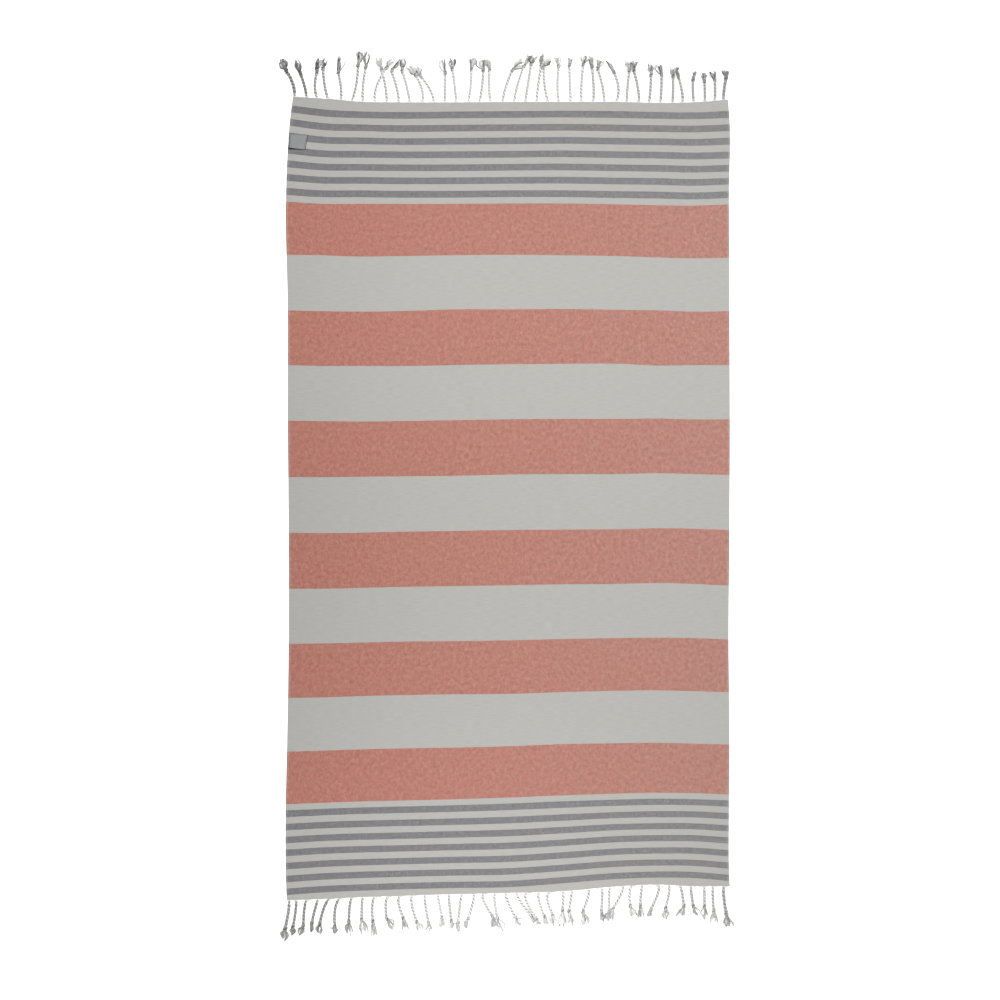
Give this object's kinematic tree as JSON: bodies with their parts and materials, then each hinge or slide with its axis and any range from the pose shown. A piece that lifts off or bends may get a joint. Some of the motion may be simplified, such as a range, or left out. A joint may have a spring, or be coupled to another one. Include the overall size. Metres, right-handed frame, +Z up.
{
  "type": "beach towel",
  "caption": "Flat-woven striped cotton beach towel laid out flat, with twisted, knotted tassels along both ends and a small sewn label near one corner.",
  "frame": {"origin": "on the surface that the towel lies on, under the middle of the cloth", "axes": "+Y along the cloth's length towards the end with the label, +X across it so that the label is on the -X side, +Z up"},
  "size_m": [1.0207, 2.0249, 0.011],
  "materials": {
    "woven_cotton": "matt plain weave, coral, natural and grey stripes",
    "twisted_cotton": "matt twisted cotton yarn, natural white",
    "label_tape": "fine woven tape, grey"
  },
  "bodies": {
    "root": {"cloth": "woven_cotton", "fringe_top": "twisted_cotton", "fringe_bottom": "twisted_cotton", "label": "label_tape"}
  },
  "joints": []
}
